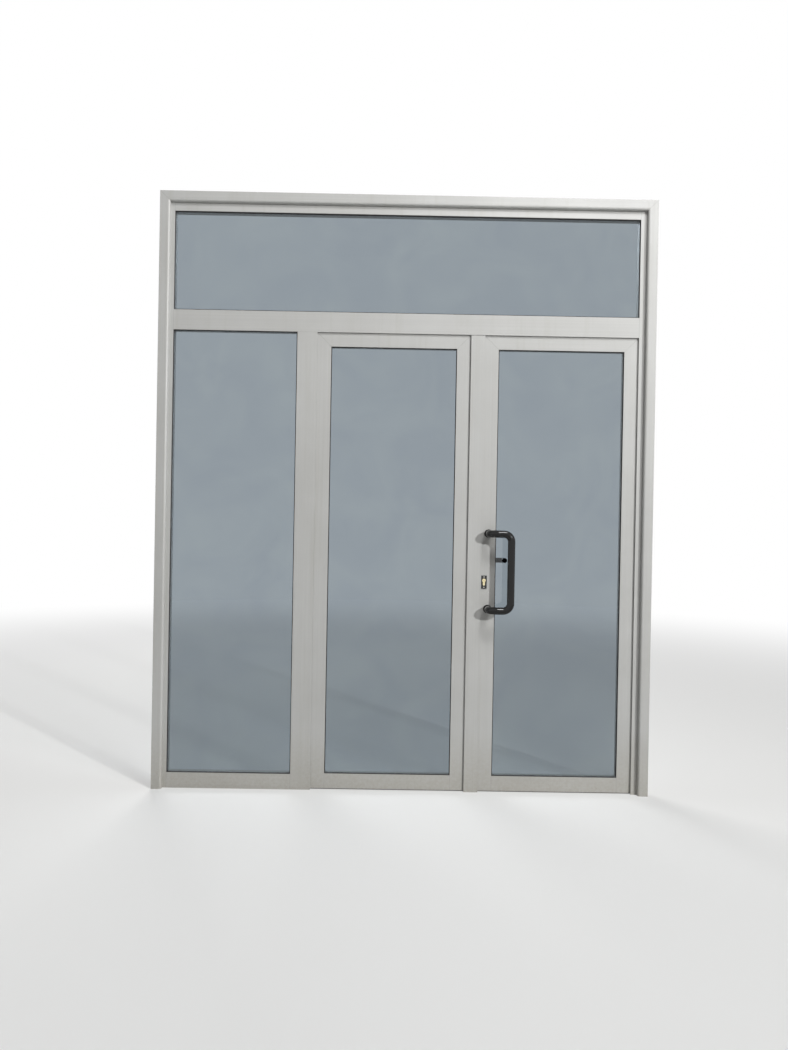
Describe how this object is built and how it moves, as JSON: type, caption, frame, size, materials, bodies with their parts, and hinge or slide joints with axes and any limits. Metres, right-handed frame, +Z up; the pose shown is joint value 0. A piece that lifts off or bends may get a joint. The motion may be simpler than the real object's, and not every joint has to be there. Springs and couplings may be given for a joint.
{
  "type": "glazed aluminium entrance door set",
  "caption": "Aluminium entrance set: fixed transom light and sidelight, glazed active and passive leaves opening inward, black pull handle, lever, cylinder lock and flush bolts.",
  "frame": {"origin": "centre of the set's box at floor level: midway across the width, midway between the pull handle's front and the lever's rear", "axes": "+X to the right seen from outside, +Y inward through the doorway, +Z up"},
  "size_m": [2.325, 0.206, 2.79],
  "materials": {
    "coated_aluminium": "satin metallic coat",
    "glass": "clear",
    "gasket": "matte",
    "block_plastic": "matte",
    "brush": "pile",
    "black_gloss": "gloss",
    "black_satin": "satin",
    "brass": "brushed",
    "satin_aluminium": "satin",
    "zinc_steel": "zinc plated",
    "steel": "brushed"
  },
  "bodies": {
    "frame": {"left_jamb": "coated_aluminium", "right_jamb": "coated_aluminium", "head": "coated_aluminium", "transom_bar": "coated_aluminium", "mullion": "coated_aluminium", "centre_post": "coated_aluminium", "sidelight_bottom_rail": "coated_aluminium", "left_cover": "coated_aluminium", "right_cover": "coated_aluminium", "head_cover": "coated_aluminium", "transom_glass": "glass", "transom_gaskets": "gasket", "transom_beads": "coated_aluminium", "sidelight_glass": "glass", "sidelight_gaskets": "gasket", "sidelight_beads": "coated_aluminium", "frame_setting_blocks": "block_plastic", "frame_hinge_knuckles": "coated_aluminium", "hinge_pins": "steel", "stop_gaskets": "gasket", "strike_plate": "steel", "strike_body": "zinc_steel"},
    "strike_keeper": {"strike_keeper": "steel"},
    "active_leaf": {"active_hinge_stile": "coated_aluminium", "active_lock_stile": "coated_aluminium", "active_top_rail": "coated_aluminium", "active_bottom_rail": "coated_aluminium", "active_glass": "glass", "active_gaskets": "gasket", "active_beads": "coated_aluminium", "active_setting_blocks": "block_plastic", "active_brush_seal": "brush", "active_hinge_knuckles": "coated_aluminium", "lock_case": "zinc_steel", "lock_faceplate": "steel", "cylinder_body": "brass", "cylinder_plates": "black_satin", "plate_screws": "black_satin", "pull_handle": "black_gloss", "handle_collars": "black_gloss", "lever_rose": "black_gloss"},
    "lever": {"lever": "black_gloss", "lock_hub": "steel"},
    "latch": {"latch": "steel"},
    "cylinder_plug": {"cylinder_plug": "brass"},
    "dead_bolt": {"dead_bolt": "steel"},
    "passive_leaf": {"passive_hinge_stile": "coated_aluminium", "passive_free_stile": "coated_aluminium", "passive_top_rail": "coated_aluminium", "passive_bottom_rail": "coated_aluminium", "passive_glass": "glass", "passive_gaskets": "gasket", "passive_beads": "coated_aluminium", "passive_setting_blocks": "block_plastic", "passive_brush_seal": "brush", "passive_hinge_knuckles": "coated_aluminium", "flush_bolt_housings": "satin_aluminium"},
    "top_flush_bolt": {"top_flush_bolt": "steel"},
    "bottom_flush_bolt": {"bottom_flush_bolt": "steel"}
  },
  "joints": [
    {"name": "active_leaf_swing", "type": "hinge", "parent": "frame", "child": "active_leaf", "pos_m": [1.106, 0.056, 1.085], "axis": [0, 0, -1], "range_deg": [0, 90]},
    {"name": "passive_leaf_swing", "type": "hinge", "parent": "frame", "child": "passive_leaf", "pos_m": [-0.44, 0.056, 1.085], "axis": [0, 0, 1], "range_deg": [0, 90]},
    {"name": "lever_turn", "type": "hinge", "parent": "active_leaf", "child": "lever", "pos_m": [0.38, 0.045, 1.09], "axis": [0, 1, 0], "range_deg": [0, 45], "stiffness_Nm_per_rad": 1.2, "springref_deg": -28.65},
    {"name": "latch_slide", "type": "slide", "parent": "active_leaf", "child": "latch", "axis": [1, 0, 0], "range_m": [0, 0.011]},
    {"name": "plug_turn", "type": "hinge", "parent": "active_leaf", "child": "cylinder_plug", "pos_m": [0.38, 0, 0.998], "axis": [0, 1, 0], "range_deg": [0, 360]},
    {"name": "dead_bolt_slide", "type": "slide", "parent": "active_leaf", "child": "dead_bolt", "axis": [-1, 0, 0], "range_m": [0, 0.02]},
    {"name": "keeper_swing", "type": "hinge", "parent": "frame", "child": "strike_keeper", "pos_m": [0.332, 0.0305, 1.112], "axis": [0, 0, -1], "range_deg": [0, 90]},
    {"name": "top_flush_bolt_slide", "type": "slide", "parent": "passive_leaf", "child": "top_flush_bolt", "axis": [0, 0, 1], "range_m": [0, 0.018]},
    {"name": "bottom_flush_bolt_slide", "type": "slide", "parent": "passive_leaf", "child": "bottom_flush_bolt", "axis": [0, 0, -1], "range_m": [0, 0.018]}
  ],
  "couplings": [
    {"joint": "latch_slide", "follows": "lever_turn", "m_per_rad": 0.014},
    {"joint": "dead_bolt_slide", "follows": "plug_turn", "m_per_rad": 0.00318}
  ]
}
